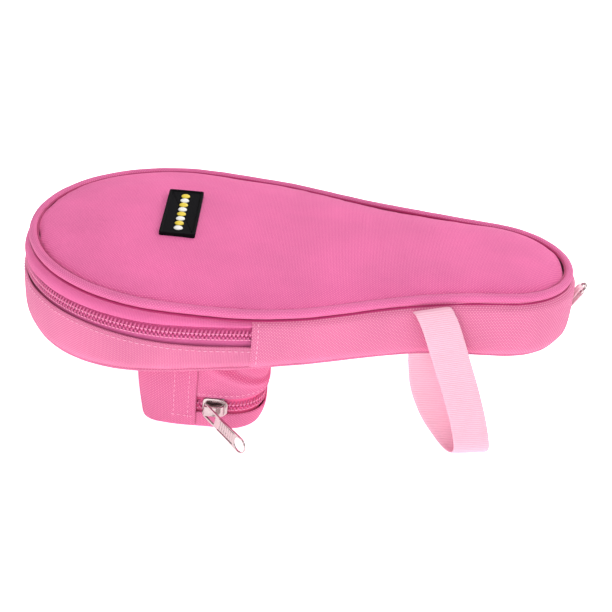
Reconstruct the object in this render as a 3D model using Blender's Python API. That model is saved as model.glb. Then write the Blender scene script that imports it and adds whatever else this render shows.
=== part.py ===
"""Padded racket case with a zipped lid, a zipped ball pouch and a hand strap.

Metres, +Z up, +X towards the handle end, -Y towards the strap side. The origin is
under the centre of the round end, on the plane that the pouch rests on.
"""
import math

import bmesh
import bpy
from mathutils import Matrix, Vector

GAP = 0.0003            # clearance between touching pieces

# Case outline: a round end, a long shoulder curve and a rounded handle end
ROUND_R = 0.0868
TAIL_R = 0.0462
CASE_LENGTH = 0.300
SHOULDER_OUT = 0.0845   # how far the shoulder curve leaves the round end level
SHOULDER_IN = 0.0986    # how far it meets the handle end straight
TAIL_TURN = 0.153       # slope of the shoulder where it meets the handle end, radians
TAIL_X = CASE_LENGTH - ROUND_R - TAIL_R

# Heights
POUCH_DEPTH = 0.048
CASE_BOTTOM = POUCH_DEPTH
CASE_TOP = CASE_BOTTOM + 0.0362
CROWN = 0.0065          # rise of the padded top above its edge
SKIN = 0.0010
FOAM = 0.0030
LINING = 0.0006

# Seams and walls
WELT = 0.0034           # width of the piping seen from above
WELT_HEIGHT = 0.0046
WALL_INSET = 0.0004
WALL = 0.0025           # padded gusset, fabric to lining
TAPE_INSET = 0.0012
TAPE = 0.0008
COIL = 0.0018           # height of one coil row
COIL_INSET = -0.0002    # the coil stands slightly proud of the wall
COIL_DEPTH = 0.0010

# Main zip and the line where the lid folds
ZIP_Z = 0.0683
TAPE_SHOWN = 0.0056     # tape between the coil's centre line and the gusset edge
FOLD_NEAR_X = 0.0396
FOLD_FAR_X = 0.0280
FOLD_Z = 0.0912

# Ball pouch
POUCH_MIN = Vector((-0.0200, -0.0640))
POUCH_MAX = Vector((0.0490, 0.0640))
POUCH_CORNER = 0.012
POUCH_SEAM_X = 0.0117   # where the zip comes out of the plain gusset
POUCH_ZIP_Z = 0.0122
POUCH_BAND_Z = 0.0212
POUCH_WALL = 0.0018
POUCH_FLOOR = 0.0030
STRIP_TOP = 0.0062

# Sliders and pull tabs
SLIDER_LENGTH = 0.0135
SLIDER_WIDTH = 0.0094
SLIDER_BASE = 0.0014
SLIDER_LIFT = 0.0005    # from the wall to the slider, over the coil
ARCH_WIDTH = 0.0022
ARCH_CLEAR = 0.0032
ARCH_BAR = 0.0010
ARCH_FROM = -0.0056
ARCH_TO = 0.0045
BAR_X = -0.0036         # where the pull's end bar sits in the arch
PULL_LENGTH = 0.0350
PULL_THICK = 0.0010
PULL_DIR = Vector((0.68, 0.70, -0.22))
POUCH_SLIDER_X = 0.0222
MAIN_SLIDER_X = 0.0140

# Strap
STRAP_WIDTH = 0.020
STRAP_THICK = 0.0014
STRAP_LEAN = 0.232      # the strap's width follows the case's edge, which turns by this sine
STRAP_RISE = 0.12       # and rises a little towards the handle end
STRAP_PIVOT = Vector((0.1455, -0.06305, 0.0492))

# Label, tab and ring
LABEL_CENTRE = Vector((-0.0059, 0.0050))
LABEL_SIZE = Vector((0.0193, 0.0564, 0.0022))
RING_PIVOT = Vector((0.2186, 0.0, 0.0690))
RING_WIRE = 0.0008
RING_HALF = 0.0046
RING_DIR = Vector((0.6, 0.0, 0.8))
TAB_WIDTH = 0.0070
TAB_THICK = 0.0009

COLOURS = {
    "panel": (0.86, 0.21, 0.45, 1.0),
    "gusset": (0.94, 0.36, 0.60, 1.0),
    "zip": (0.56, 0.08, 0.26, 1.0),
    "lining": (0.80, 0.25, 0.45, 1.0),
    "foam": (0.85, 0.84, 0.80, 1.0),
    "webbing": (0.95, 0.60, 0.72, 1.0),
    "rubber": (0.01, 0.01, 0.012, 1.0),
    "nickel": (0.62, 0.59, 0.56, 1.0),
}


def clear_scene():
    for item in list(bpy.data.objects):
        bpy.data.objects.remove(item, do_unlink=True)


def add_material(item, colour, roughness=0.8, metallic=0.0):
    material = bpy.data.materials.new(item.name + "_finish")
    material.use_nodes = True
    shader = material.node_tree.nodes["Principled BSDF"]
    shader.inputs["Base Color"].default_value = COLOURS[colour]
    shader.inputs["Roughness"].default_value = roughness
    shader.inputs["Metallic"].default_value = metallic
    item.data.materials.append(material)


def finish(bm, name, colour, parent=None, roughness=0.8, metallic=0.0):
    bmesh.ops.recalc_face_normals(bm, faces=bm.faces[:])
    if bm.calc_volume(signed=True) < 0.0:
        bmesh.ops.reverse_faces(bm, faces=bm.faces[:])
    mesh = bpy.data.meshes.new(name)
    bm.to_mesh(mesh)
    bm.free()
    item = bpy.data.objects.new(name, mesh)
    bpy.context.scene.collection.objects.link(item)
    mesh.shade_smooth()
    mesh.set_sharp_from_angle(angle=math.radians(35))
    add_material(item, colour, roughness, metallic)
    if parent is not None:
        item.data.transform(Matrix.Translation(-parent.location))
        item.parent = parent
    return item


def pivot(name, place, parent=None):
    empty = bpy.data.objects.new(name, None)
    bpy.context.scene.collection.objects.link(empty)
    empty.location = place
    if parent is not None:
        empty.parent = parent
        empty.matrix_parent_inverse = Matrix.Translation(-parent.location)
    return empty


# ---------------------------------------------------------------- outlines

def half_outline():
    # Points and outward normals from the round end's tip to the handle end's tip
    points = []
    round_steps = 13
    for i in range(round_steps):
        angle = math.pi - 0.5 * math.pi * i / round_steps
        normal = Vector((math.cos(angle), math.sin(angle)))
        points.append((normal * ROUND_R, normal))
    start = Vector((0.0, ROUND_R))
    turn = Vector((math.cos(TAIL_TURN), -math.sin(TAIL_TURN)))
    end = Vector((TAIL_X, 0.0)) + TAIL_R * Vector((math.sin(TAIL_TURN), math.cos(TAIL_TURN)))
    lead = start + Vector((SHOULDER_OUT, 0.0))
    follow = end - turn * SHOULDER_IN
    shoulder_steps = 9
    for i in range(shoulder_steps):
        t = i / shoulder_steps
        u = 1.0 - t
        place = u ** 3 * start + 3 * u * u * t * lead + 3 * u * t * t * follow + t ** 3 * end
        along = u * u * (lead - start) + 2 * u * t * (follow - lead) + t * t * (end - follow)
        normal = Vector((-along.y, along.x)).normalized()
        points.append((place, normal))
    tail_steps = 9
    for i in range(tail_steps + 1):
        angle = (0.5 * math.pi - TAIL_TURN) * (1.0 - i / tail_steps)
        normal = Vector((math.cos(angle), math.sin(angle)))
        points.append((Vector((TAIL_X, 0.0)) + normal * TAIL_R, normal))
    return points


def case_outline(inset):
    upper = [place - normal * inset for place, normal in half_outline()]
    lower = [Vector((p.x, -p.y)) for p in reversed(upper[1:-1])]
    return upper + lower


def pouch_outline(inset):
    low = POUCH_MIN + Vector((inset, inset))
    high = POUCH_MAX - Vector((inset, inset))
    radius = POUCH_CORNER - inset
    corner_steps = 4
    points = []
    corners = [(high.x, high.y, 0), (low.x, high.y, 1), (low.x, low.y, 2), (high.x, low.y, 3)]
    for x, y, quarter in corners:
        centre = Vector((x - radius if quarter in (0, 3) else x + radius,
                         y - radius if quarter in (0, 1) else y + radius))
        for i in range(corner_steps + 1):
            angle = 0.5 * math.pi * (quarter + i / corner_steps)
            points.append(centre + radius * Vector((math.cos(angle), math.sin(angle))))
    return points


# ---------------------------------------------------------------- solids

def ring_solid(outline, outer, inner, bottom, top):
    # A closed band between two insets of one outline
    bm = bmesh.new()
    loops = []
    for inset, z in ((outer, bottom), (outer, top), (inner, top), (inner, bottom)):
        loops.append([bm.verts.new((p.x, p.y, z)) for p in outline(inset)])
    count = len(loops[0])
    for k in range(4):
        for i in range(count):
            j = (i + 1) % count
            m = (k + 1) % 4
            bm.faces.new((loops[k][i], loops[k][j], loops[m][j], loops[m][i]))
    return bm


def welt_solid(bottom):
    # Piping: an eight-sided roll that follows the outline
    bm = bmesh.new()
    loops = []
    for k in range(8):
        angle = 2.0 * math.pi * (k + 0.5) / 8
        inset = 0.5 * WELT * (1.0 + math.cos(angle) / math.cos(math.pi / 8))
        z = bottom + 0.5 * WELT_HEIGHT * (1.0 + math.sin(angle) / math.cos(math.pi / 8))
        loops.append([bm.verts.new((p.x, p.y, z)) for p in case_outline(inset)])
    count = len(loops[0])
    for k in range(8):
        for i in range(count):
            j = (i + 1) % count
            m = (k + 1) % 8
            bm.faces.new((loops[k][i], loops[k][j], loops[m][j], loops[m][i]))
    return bm


def panel_solid(inset, edge_top, thickness, crown):
    # A padded sheet: its rise grows quickly from the edge and is level in the middle
    bm = bmesh.new()
    edge = case_outline(inset)
    spine = [Vector((min(max(p.x, 0.0), TAIL_X), 0.0)) for p in edge]
    fractions = (1.0, 0.93, 0.80, 0.55, 0.15) if crown > 0.0 else (1.0,)
    sides = []
    for drop in (0.0, thickness):
        loops = []
        for t in fractions:
            z = edge_top - drop + crown * (1.0 - t ** 4)
            loops.append([bm.verts.new((s + (p - s) * t).to_3d() + Vector((0, 0, z)))
                          for p, s in zip(edge, spine)])
        sides.append(loops)
    count = len(edge)
    for loops in sides:
        for k in range(len(loops) - 1):
            for i in range(count):
                j = (i + 1) % count
                bm.faces.new((loops[k][i], loops[k][j], loops[k + 1][j], loops[k + 1][i]))
        bm.faces.new(loops[-1])
    for i in range(count):
        j = (i + 1) % count
        bm.faces.new((sides[0][0][i], sides[0][0][j], sides[1][0][j], sides[1][0][i]))
    return bm


def cut(bm, place, normal):
    # Keeps the side that the normal points to, and closes the cut
    geometry = bm.verts[:] + bm.edges[:] + bm.faces[:]
    bmesh.ops.bisect_plane(bm, geom=geometry, plane_co=place, plane_no=normal, clear_inner=True)
    bmesh.ops.holes_fill(bm, edges=[e for e in bm.edges if e.is_boundary], sides=0)
    return bm


def fold_cut(bm, side):
    # side -1 keeps the lid, side +1 keeps the handle end
    near = Vector((FOLD_NEAR_X, -ROUND_R, 0.0))
    far = Vector((FOLD_FAR_X, ROUND_R, 0.0))
    along = (far - near).normalized()
    normal = Vector((along.y, -along.x, 0.0)) * side
    return cut(bm, near + normal * GAP, normal)


def seam_cut(bm, side):
    normal = Vector((side, 0.0, 0.0))
    return cut(bm, Vector((POUCH_SEAM_X + side * 0.5 * GAP, 0.0, 0.0)), normal)


def sweep(path, widths, half_width, half_thick, closed=False, sides=4):
    # A band or wire along a path; widths are its side directions
    bm = bmesh.new()
    count = len(path)
    rings = []
    for i, place in enumerate(path):
        before = path[i - 1] if closed or i > 0 else place
        after = path[(i + 1) % count] if closed or i < count - 1 else place
        along = (after - before).normalized()
        width = widths[i]
        out = along.cross(width).normalized()
        ring = []
        for k in range(sides):
            angle = 2.0 * math.pi * (k + 0.5) / sides
            a = math.cos(angle) / math.cos(math.pi / sides)
            b = math.sin(angle) / math.cos(math.pi / sides)
            ring.append(bm.verts.new(place + width * (a * half_width) + out * (b * half_thick)))
        rings.append(ring)
    for i in range(count if closed else count - 1):
        j = (i + 1) % count
        for k in range(sides):
            m = (k + 1) % sides
            bm.faces.new((rings[i][k], rings[i][m], rings[j][m], rings[j][k]))
    if not closed:
        bm.faces.new(rings[0])
        bm.faces.new(rings[-1])
    return bm


def prism(loops, thickness, matrix):
    # A flat plate with holes: the first loop is its outline; it grows along local Z
    bm = bmesh.new()
    edges = []
    for loop in loops:
        verts = [bm.verts.new((x, y, 0.0)) for x, y in loop]
        for i, vert in enumerate(verts):
            edges.append(bm.edges.new((vert, verts[(i + 1) % len(verts)])))
    bmesh.ops.triangle_fill(bm, edges=edges, use_beauty=True, use_dissolve=False)
    grown = bmesh.ops.extrude_face_region(bm, geom=bm.faces[:], use_keep_orig=True)
    moved = [v for v in grown["geom"] if isinstance(v, bmesh.types.BMVert)]
    bmesh.ops.translate(bm, verts=moved, vec=(0.0, 0.0, thickness))
    bm.transform(matrix)
    return bm


def arc(centre, radius, first, last, steps):
    turns = [math.radians(first + (last - first) * i / steps) for i in range(steps + 1)]
    return [(centre[0] + radius * math.cos(a), centre[1] + radius * math.sin(a)) for a in turns]


def box_loop(x0, x1, y0, y1):
    return [(x0, y0), (x1, y0), (x1, y1), (x0, y1)]


def unite(item, other):
    modifier = item.modifiers.new("union", "BOOLEAN")
    modifier.operation = "UNION"
    modifier.object = other
    other.hide_render = True
    other.display_type = "WIRE"


# ---------------------------------------------------------------- the case

def make_bottom():
    level = CASE_BOTTOM
    edge = WELT + GAP
    for name, colour, thick in (("bottom_panel", "panel", SKIN),
                                ("bottom_foam", "foam", FOAM),
                                ("bottom_lining", "lining", LINING)):
        finish(panel_solid(edge, level + thick, thick, 0.0), name, colour)
        level += thick + GAP
    finish(welt_solid(CASE_BOTTOM), "bottom_piping", "panel")
    return level


def make_top(lid):
    level = CASE_TOP - 0.0002
    edge = WELT + GAP
    for name, colour, thick in (("panel", "panel", SKIN), ("foam", "foam", FOAM),
                                ("lining", "lining", LINING)):
        body = panel_solid(edge, level, thick, CROWN)
        finish(fold_cut(body, -1), "lid_" + name, colour, lid)
        body = panel_solid(edge, level, thick, CROWN)
        finish(fold_cut(body, 1), "tail_" + name, colour)
        level -= thick + GAP
    welt_bottom = CASE_TOP - WELT_HEIGHT
    finish(fold_cut(welt_solid(welt_bottom), -1), "lid_piping", "panel", lid)
    finish(fold_cut(welt_solid(welt_bottom), 1), "tail_piping", "panel")


def make_walls(lid):
    low = CASE_BOTTOM + WELT_HEIGHT + GAP
    high = CASE_TOP - WELT_HEIGHT - GAP
    inner = WALL_INSET + WALL
    half = 0.5 * GAP
    band = ring_solid(case_outline, WALL_INSET, inner, low, ZIP_Z - TAPE_SHOWN - GAP)
    finish(fold_cut(band, -1), "lower_gusset", "gusset")
    band = ring_solid(case_outline, WALL_INSET, inner, ZIP_Z + TAPE_SHOWN + GAP, high)
    finish(fold_cut(band, -1), "upper_gusset", "gusset", lid)
    band = ring_solid(case_outline, WALL_INSET, inner, low, high)
    finish(fold_cut(band, 1), "tail_gusset", "gusset")
    band = ring_solid(case_outline, inner + GAP, inner + GAP + LINING, low + 0.001, high - 0.002)
    finish(fold_cut(band, 1), "tail_gusset_lining", "lining")
    tape_back = TAPE_INSET + TAPE
    coil_back = COIL_INSET + COIL_DEPTH
    for name, low_z, high_z, parent in (("lower", ZIP_Z - TAPE_SHOWN, ZIP_Z - half, None),
                                        ("upper", ZIP_Z + half, ZIP_Z + TAPE_SHOWN, lid)):
        tape = ring_solid(case_outline, TAPE_INSET, tape_back, low_z, high_z)
        finish(fold_cut(tape, -1), name + "_zip_tape", "zip", parent)
        coil_low = ZIP_Z - half - COIL if name == "lower" else ZIP_Z + half
        coil = ring_solid(case_outline, COIL_INSET, coil_back, coil_low, coil_low + COIL)
        finish(fold_cut(coil, -1), name + "_zip_coil", "zip", parent)


def make_label(lid):
    half = 0.5 * LABEL_SIZE
    loop = []
    radius = 0.0012
    for x, y, first in ((half.x, half.y, 0), (-half.x, half.y, 90),
                        (-half.x, -half.y, 180), (half.x, -half.y, 270)):
        centre = (x - math.copysign(radius, x), y - math.copysign(radius, y))
        loop += arc(centre, radius, first, first + 90, 3)
    level = CASE_TOP + CROWN + GAP
    place = Matrix.Translation(LABEL_CENTRE.to_3d() + Vector((0, 0, level)))
    finish(prism([loop], LABEL_SIZE.z, place), "label_patch", "rubber", lid, 0.45)


# ---------------------------------------------------------------- the pouch

def make_pouch(flap):
    top = POUCH_DEPTH - GAP
    half = 0.5 * GAP
    low = POUCH_FLOOR + GAP
    body = ring_solid(pouch_outline, 0.0, POUCH_WALL, low, top)
    finish(seam_cut(body, -1), "pouch_gusset", "gusset")
    body = ring_solid(pouch_outline, 0.0, POUCH_WALL, POUCH_BAND_Z, top)
    finish(seam_cut(body, 1), "pouch_band", "gusset")
    body = ring_solid(pouch_outline, 0.0, POUCH_WALL, low, STRIP_TOP)
    finish(seam_cut(body, 1), "pouch_strip", "gusset", flap)
    body = ring_solid(pouch_outline, POUCH_WALL + GAP, POUCH_WALL + GAP + LINING,
                      POUCH_ZIP_Z + 0.001, top)
    finish(body, "pouch_lining", "lining")
    tape_back = TAPE_INSET - 0.0004 + TAPE
    coil_back = COIL_INSET + COIL_DEPTH - 0.0004
    spans = (("upper", POUCH_ZIP_Z + half, POUCH_BAND_Z - GAP, None),
             ("lower", STRIP_TOP + GAP, POUCH_ZIP_Z - half, flap))
    for name, low_z, high_z, parent in spans:
        tape = ring_solid(pouch_outline, TAPE_INSET - 0.0004, tape_back, low_z, high_z)
        finish(seam_cut(tape, 1), "pouch_" + name + "_tape", "zip", parent)
        coil_low = POUCH_ZIP_Z - half - COIL if name == "lower" else POUCH_ZIP_Z + half
        coil = ring_solid(pouch_outline, COIL_INSET, coil_back, coil_low, coil_low + COIL)
        finish(seam_cut(coil, 1), "pouch_" + name + "_coil", "zip", parent)
    floor = prism([[(p.x, p.y) for p in pouch_outline(0.0)]], POUCH_FLOOR, Matrix.Identity(4))
    finish(floor, "pouch_panel", "panel", flap)


# ---------------------------------------------------------------- zip sliders

def slider_frame(place, out):
    # Local X runs the way the slider opens, local Y out of the wall, local Z up
    up = Vector((0.0, 0.0, 1.0))
    along = up.cross(out)
    return Matrix.Translation(place) @ Matrix((along, out, up)).transposed().to_4x4()


def make_slider(name, frame, parent):
    # A shield-shaped plate over the coil, with an arch for the pull tab
    nose = 0.5 * SLIDER_LENGTH
    side = 0.5 * SLIDER_WIDTH
    outline = [(-nose, -0.7 * side), (-0.72 * nose, -side), (0.35 * nose, -side),
               (nose, -0.62 * side), (nose, 0.62 * side), (0.35 * nose, side),
               (-0.72 * nose, side), (-nose, 0.7 * side)]
    flat = Matrix(((1, 0, 0, 0), (0, 0, 1, 0), (0, -1, 0, 0), (0, 0, 0, 1)))
    body = finish(prism([outline], SLIDER_BASE, frame @ flat), name, "nickel", parent, 0.3, 1.0)
    top = SLIDER_BASE + ARCH_CLEAR + ARCH_BAR
    profile = [(ARCH_FROM, SLIDER_BASE - 0.0004), (ARCH_FROM + ARCH_BAR, SLIDER_BASE - 0.0004),
               (ARCH_FROM + ARCH_BAR, top - ARCH_BAR - 0.0003),
               (ARCH_FROM + ARCH_BAR + 0.0005, top - ARCH_BAR),
               (ARCH_TO - ARCH_BAR - 0.0008, top - ARCH_BAR),
               (ARCH_TO - ARCH_BAR, SLIDER_BASE - 0.0004), (ARCH_TO, SLIDER_BASE - 0.0004),
               (ARCH_TO - 0.0006, top - 0.0005), (ARCH_TO - 0.0014, top),
               (ARCH_FROM + 0.0008, top), (ARCH_FROM, top - 0.0008)]
    lift = Matrix.Translation((0.0, 0.0, -0.5 * ARCH_WIDTH))
    arch = finish(prism([profile], ARCH_WIDTH, frame @ lift), name + "_arch", "nickel", parent)
    unite(body, arch)
    return body


def pull_frame(frame):
    # Local X runs down the tab, local Y is the pivot axis, local Z the tab's thickness
    down = PULL_DIR.normalized()
    up = Vector((0.0, 0.0, 1.0))
    axis = (up - down * up.dot(down)).normalized()
    face = down.cross(axis)
    place = Vector((BAR_X, SLIDER_BASE + 0.5 * ARCH_CLEAR, 0.0))
    turn = Matrix((down, axis, face)).transposed().to_4x4()
    return frame @ Matrix.Translation(place) @ turn


def make_pull(name, frame, parent):
    # A bar and two legs round the arch, a solid tab, and a round eye at the end
    half_loop = 0.0036
    half_eye = 0.0046
    eye = PULL_LENGTH - half_eye
    back = -0.5 * PULL_THICK
    outline = [(back, half_loop - 0.0012), (back + 0.0012, half_loop), (0.0105, half_loop)]
    outline += [(0.0130, 0.0030)]
    outline += list(reversed(arc((eye, 0.0), half_eye, -96, 96, 12)))
    outline += [(0.0130, -0.0030), (0.0105, -half_loop)]
    outline += [(back + 0.0012, -half_loop), (back, -half_loop + 0.0012)]
    slot = box_loop(0.5 * PULL_THICK, 0.0096, -0.0023, 0.0023)
    hole = arc((eye + 0.0002, 0.0), 0.0036, 0, 330, 11)
    lift = Matrix.Translation((0.0, 0.0, -0.5 * PULL_THICK))
    plate = prism([outline, slot, hole], PULL_THICK, frame @ lift)
    finish(plate, name, "nickel", parent, 0.3, 1.0)


def make_zip_runner(prefix, place, out):
    frame = slider_frame(place, out)
    slider = pivot(prefix + "_slider_pivot", place)
    make_slider(prefix + "_slider", frame, slider)
    tab = pull_frame(frame)
    pull = pivot(prefix + "_pull_pivot", tab.translation)
    make_pull(prefix + "_pull", tab, pull)


# ---------------------------------------------------------------- strap, tab and ring

def smooth_path(points, steps):
    # Points along a Catmull-Rom curve through the given ones
    ends = [2 * points[0] - points[1]] + points + [2 * points[-1] - points[-2]]
    path = []
    for i in range(1, len(ends) - 2):
        a, b, c, d = ends[i - 1:i + 3]
        for k in range(steps):
            t = k / steps
            path.append(0.5 * (2 * b + (c - a) * t + (2 * a - 5 * b + 4 * c - d) * t * t
                               + (3 * b - a - 3 * c + d) * t ** 3))
    return path + [points[-1]]


def make_strap(loop_pivot):
    # One webbing: a short sewn end above the edge, then the loop that swings
    edge = Vector((math.sqrt(1.0 - STRAP_LEAN ** 2), STRAP_LEAN, STRAP_RISE)).normalized()
    fold = [Vector((0.1310, -0.0572, 0.0782)), Vector((0.1325, -0.0592, 0.0774)),
            Vector((0.1372, -0.0612, 0.0690)), Vector((0.1452, -0.0630, 0.0500))]
    path = smooth_path(fold, 3)
    finish(sweep(path, [edge] * len(path), 0.5 * STRAP_WIDTH, 0.5 * STRAP_THICK),
           "strap_anchor", "webbing")
    loop = [Vector((0.1458, -0.0631, 0.0484)), Vector((0.1515, -0.0648, 0.0345)),
            Vector((0.1575, -0.0672, 0.0180)), Vector((0.1612, -0.0690, 0.0072)),
            Vector((0.1614, -0.0668, 0.0026)), Vector((0.1592, -0.0618, 0.0025)),
            Vector((0.1560, -0.0588, 0.0065)), Vector((0.1500, -0.0560, 0.0160)),
            Vector((0.1410, -0.0540, 0.0310)), Vector((0.1345, -0.0528, 0.0425))]
    path = smooth_path(loop, 3)
    finish(sweep(path, [edge] * len(path), 0.5 * STRAP_WIDTH, 0.5 * STRAP_THICK),
           "strap", "webbing", loop_pivot)


def make_ring(ring_pivot):
    # A D ring: a straight bar in the tab's fold and a round bow
    across = Vector((0.0, 1.0, 0.0))
    bow_steps = 10
    path = [RING_PIVOT - across * RING_HALF * k for k in (-0.35, 0.35)]
    for i in range(bow_steps + 1):
        angle = math.pi * i / bow_steps
        path.append(RING_PIVOT + RING_DIR * RING_HALF * 1.25 * math.sin(angle)
                    - across * RING_HALF * math.cos(angle))
    path.reverse()
    flat = RING_DIR.cross(across).normalized()
    finish(sweep(path, [flat] * len(path), RING_WIRE, RING_WIRE, closed=True, sides=8),
           "d_ring", "nickel", ring_pivot, 0.3, 1.0)
    # The fabric tab folds round the bar and runs back to the gusset
    wrap = RING_WIRE + GAP + 0.5 * TAB_THICK
    lean = math.radians(250)
    path = []
    root = Vector((TAIL_X + TAIL_R + 0.0006, 0.0, 0.0575))
    down = Vector((math.cos(lean), 0.0, math.sin(lean)))
    side = Vector((-down.z, 0.0, down.x))
    path.append(root + Vector((0.0016, 0.0, 0.0)))
    steps = 8
    for i in range(steps + 1):
        angle = math.pi * i / steps
        path.append(RING_PIVOT + side * wrap * math.cos(angle) - down * wrap * math.sin(angle))
    path.append(root + Vector((0.0, 0.0, 0.0022)))
    finish(sweep(path, [across] * len(path), 0.5 * TAB_WIDTH, 0.5 * TAB_THICK),
           "ring_tab", "webbing")


def main():
    clear_scene()
    lid = pivot("lid_pivot", (0.5 * (FOLD_NEAR_X + FOLD_FAR_X), 0.0, FOLD_Z))
    flap = pivot("flap_pivot", (POUCH_MIN.x, 0.0, 0.5 * POUCH_FLOOR))
    loop_pivot = pivot("strap_pivot", STRAP_PIVOT)
    ring_pivot = pivot("ring_pivot", RING_PIVOT)
    make_bottom()
    make_top(lid)
    make_walls(lid)
    make_label(lid)
    make_pouch(flap)
    near = Vector((POUCH_SLIDER_X, POUCH_MIN.y - SLIDER_LIFT, POUCH_ZIP_Z))
    make_zip_runner("pouch", near, Vector((0.0, -1.0, 0.0)))
    lean = math.radians(4.5)
    out = Vector((math.sin(lean), math.cos(lean), 0.0))
    far = Vector((MAIN_SLIDER_X, ROUND_R, ZIP_Z)) + out * 2 * SLIDER_LIFT
    make_zip_runner("main", far, out)
    make_strap(loop_pivot)
    make_ring(ring_pivot)


main()
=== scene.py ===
import math
import bpy
from mathutils import Matrix, Vector, noise


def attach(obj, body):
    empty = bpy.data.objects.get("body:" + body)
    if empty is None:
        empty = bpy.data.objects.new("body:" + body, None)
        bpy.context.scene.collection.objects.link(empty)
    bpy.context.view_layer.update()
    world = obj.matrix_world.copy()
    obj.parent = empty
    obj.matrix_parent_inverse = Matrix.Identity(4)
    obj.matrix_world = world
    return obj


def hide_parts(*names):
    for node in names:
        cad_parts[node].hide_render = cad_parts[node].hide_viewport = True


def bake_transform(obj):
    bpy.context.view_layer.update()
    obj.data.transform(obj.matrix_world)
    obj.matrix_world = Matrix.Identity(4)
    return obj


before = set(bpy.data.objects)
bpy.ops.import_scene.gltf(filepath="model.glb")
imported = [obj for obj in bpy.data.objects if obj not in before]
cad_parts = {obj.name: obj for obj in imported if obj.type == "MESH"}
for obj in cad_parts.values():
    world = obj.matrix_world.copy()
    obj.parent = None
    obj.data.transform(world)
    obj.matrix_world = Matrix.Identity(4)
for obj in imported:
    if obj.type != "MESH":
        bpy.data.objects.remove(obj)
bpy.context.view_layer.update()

print("frame loaded:", len(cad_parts), "CAD nodes")


def hexColour(value):
    channels = [int(value[i:i + 2], 16) / 255 for i in (1, 3, 5)]
    return tuple(c / 12.92 if c <= 0.04045 else ((c + 0.055) / 1.055) ** 2.4
        for c in channels) + (1.0,)


def addNode(material, kind, inputs, **settings):
    # a node with its settings; an input is a value, a node or (node, output name)
    node = material.node_tree.nodes.new("ShaderNode" + kind)
    for key, value in settings.items():
        setattr(node, key, value)
    for key, value in inputs.items():
        if isinstance(value, bpy.types.Node):
            value = (value, 0)
        if isinstance(value, tuple) and isinstance(value[0], bpy.types.Node):
            material.node_tree.links.new(value[0].outputs[value[1]], node.inputs[key])
        else:
            node.inputs[key].default_value = value
    return node


def addMath(material, operation, *values):
    return addNode(material, "Math", dict(enumerate(values)), operation=operation)


def addRange(material, value, low, high, toLow=0.0, toHigh=1.0):
    return addNode(material, "MapRange", {"Value": value, "From Min": low, "From Max": high,
        "To Min": toLow, "To Max": toHigh})


def addNoise(material, scale, detail, roughness=0.5):
    place = addNode(material, "TexCoord", {})
    return addNode(material, "TexNoise", {"Vector": (place, "Object"), "Scale": scale,
        "Detail": detail, "Roughness": roughness})


def mixColours(material, factor, dark, light):
    return addNode(material, "Mix", {"Factor": factor, 6: hexColour(dark), 7: hexColour(light)},
        data_type="RGBA")


def startFinish(name, values):
    material = bpy.data.materials.new(name)
    material.use_nodes = True
    for key, value in values.items():
        material.node_tree.nodes["Principled BSDF"].inputs[key].default_value = value
    return material


def endFinish(material, colour, strength, depth, height):
    # colour and fine relief go to the shader
    shader = material.node_tree.nodes["Principled BSDF"]
    bump = addNode(material, "Bump", {"Strength": strength, "Distance": depth,
        "Height": height})
    material.node_tree.links.new(colour.outputs[2], shader.inputs["Base Color"])
    material.node_tree.links.new(bump.outputs[0], shader.inputs["Normal"])
    return material


clothValues = {"cell": 0.00080,      # one crossing of the oxford weave, drawn coarser than real
    "bump": 0.00032, "strength": 0.55, "over": 0.55, "tone": 0.07,
    "toneSize": 0.045, "reliefShade": (0.25, 1.35)}
ribValues = {"strength": 0.5, "grain": 0.9, "grainScale": 1500.0, "reliefShade": (-0.9, 1.6)}


def oxfordCloth(name, light, dark):
    # coated polyester oxford: matt, checkered crossings, a soft bloom at grazing angles; the
    # raised threads are coloured lighter and the hollows between them darker, painted light and
    # shade of the weave
    material = startFinish(name, {"Roughness": 0.8, "Specular IOR Level": 0.3,
        "Sheen Weight": 0.12, "Sheen Roughness": 0.4,
        "Sheen Tint": hexColour("#ffb9d8")})
    own = addNode(material, "UVMap", {}, uv_map="UVMap")
    scale = 1.0 / clothValues["cell"]
    threads = addNode(material, "Mapping", {"Vector": own, "Scale": (scale, scale, 0.0),
        "Location": (0.0, 0.0, 0.5)})
    over = addNode(material, "TexChecker", {"Vector": threads, "Scale": 1.0,
        "Color1": (1, 1, 1, 1), "Color2": (0, 0, 0, 1)})
    parts = addNode(material, "SeparateXYZ", {0: threads})
    waves = [addMath(material, "ABSOLUTE", addMath(material, "SINE", addMath(
        material, "MULTIPLY", (parts, axis), math.pi))) for axis in ("X", "Y")]
    raised = addMath(material, "MULTIPLY_ADD", over, clothValues["over"],
        addMath(material, "MULTIPLY", *waves))
    # colour follows the thread height: painted highlight on the raised crossings, painted shade
    # in the hollows
    weaveLitAndShaded = mixColours(material, addRange(material, raised, *clothValues["reliefShade"]), dark, light)
    tone = clothValues["tone"]
    cloud = addRange(material, addNoise(material, 1.0 / clothValues["toneSize"], 3.0),
        0.3, 0.7, 1.0 - tone, 1.0 + tone)
    dyed = addNode(material, "Mix", {"Factor": 1.0, 6: (weaveLitAndShaded, 2), 7: cloud},
        data_type="RGBA", blend_type="MULTIPLY")
    return endFinish(material, dyed, clothValues["strength"], clothValues["bump"], raised)


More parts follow.
